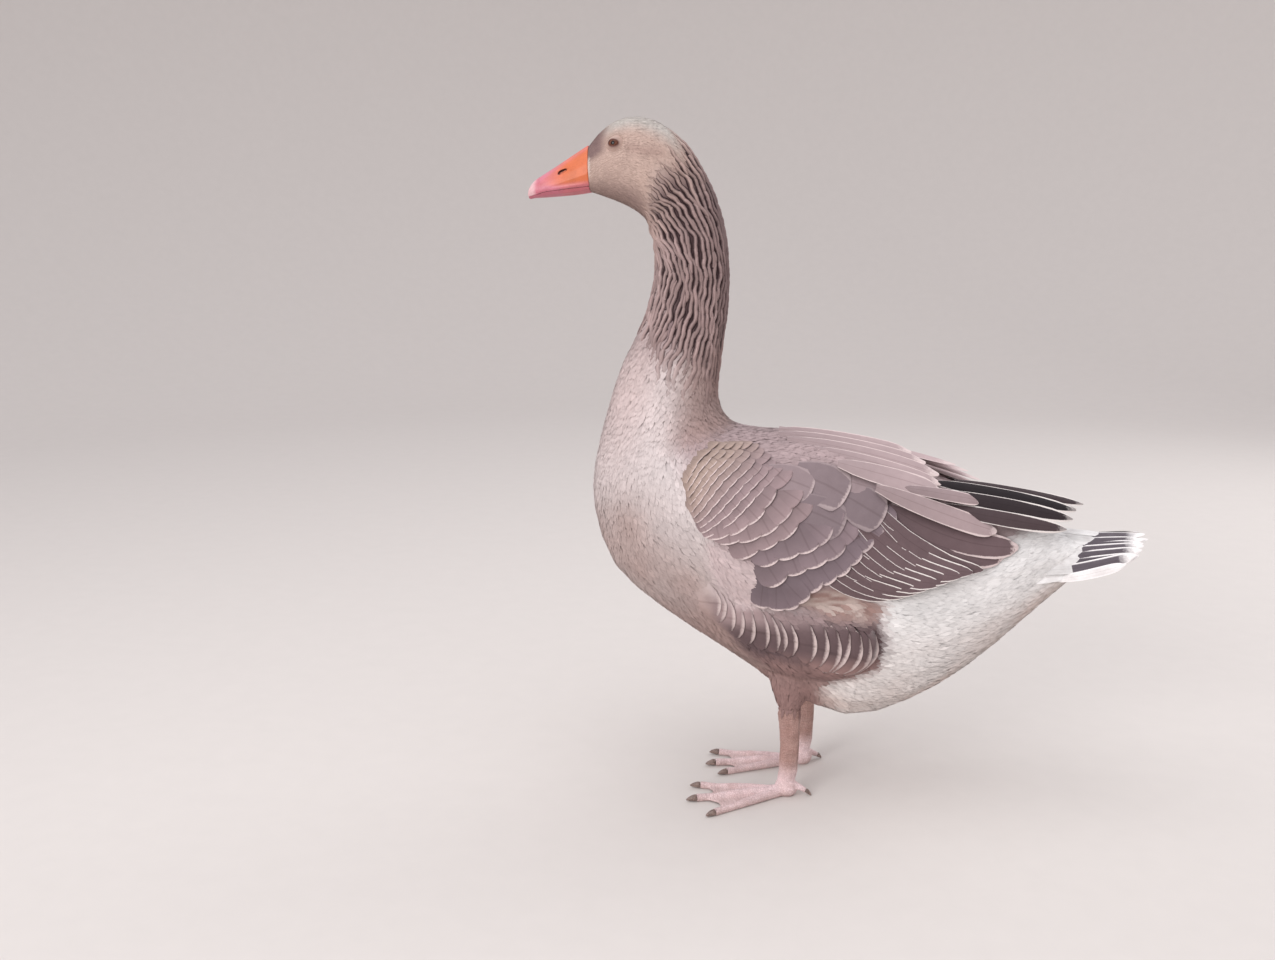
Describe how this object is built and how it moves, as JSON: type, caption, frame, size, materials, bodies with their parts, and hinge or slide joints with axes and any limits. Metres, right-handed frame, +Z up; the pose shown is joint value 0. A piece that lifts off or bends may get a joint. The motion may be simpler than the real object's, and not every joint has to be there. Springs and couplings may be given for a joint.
{
  "type": "goose",
  "caption": "Life-size still model of a grey domestic goose standing with its neck upright, wings folded and webbed feet flat on the ground.",
  "frame": {"origin": "on the ground, under the middle of the bird's length and width", "axes": "+Z up, -X towards the bill, +X towards the tail, -Y the bird's left side"},
  "size_m": [0.6793, 0.2386, 0.7515],
  "materials": {
    "body_pale": "soft, close contour feathers",
    "neck_ruffled": "furrowed neck feathers",
    "plumage_grey": "matte feathers with pale edges",
    "plumage_dark": "smooth stiff flight feathers with pale edges",
    "plumage_white": "loose white feathers",
    "bill": "smooth satin horn",
    "bill_nail": "smooth satin horn",
    "leg_skin": "scaled satin skin",
    "claw": "worn horn",
    "eye": "glossy, wet"
  },
  "bodies": {
    "root": {"head": "body_pale", "neck_upper": "neck_ruffled", "neck_lower": "neck_ruffled", "trunk": "body_pale", "rump": "plumage_white", "bill_upper": "bill", "bill_lower": "bill", "bill_nail": "bill_nail", "eye_left": "eye", "eye_right": "eye", "tail": "plumage_dark", "wing_left_coverts": "plumage_grey", "wing_left_tertials": "plumage_grey", "wing_left_secondaries": "plumage_dark", "wing_left_primaries": "plumage_dark", "flank_left": "plumage_dark", "thigh_left": "plumage_grey", "tarsus_left": "leg_skin", "foot_left": "leg_skin", "claw_left_inner": "claw", "claw_left_middle": "claw", "claw_left_outer": "claw", "claw_left_hind": "claw", "wing_right_coverts": "plumage_grey", "wing_right_tertials": "plumage_grey", "wing_right_secondaries": "plumage_dark", "wing_right_primaries": "plumage_dark", "flank_right": "plumage_dark", "thigh_right": "plumage_grey", "tarsus_right": "leg_skin", "foot_right": "leg_skin", "claw_right_inner": "claw", "claw_right_middle": "claw", "claw_right_outer": "claw", "claw_right_hind": "claw"}
  },
  "joints": []
}
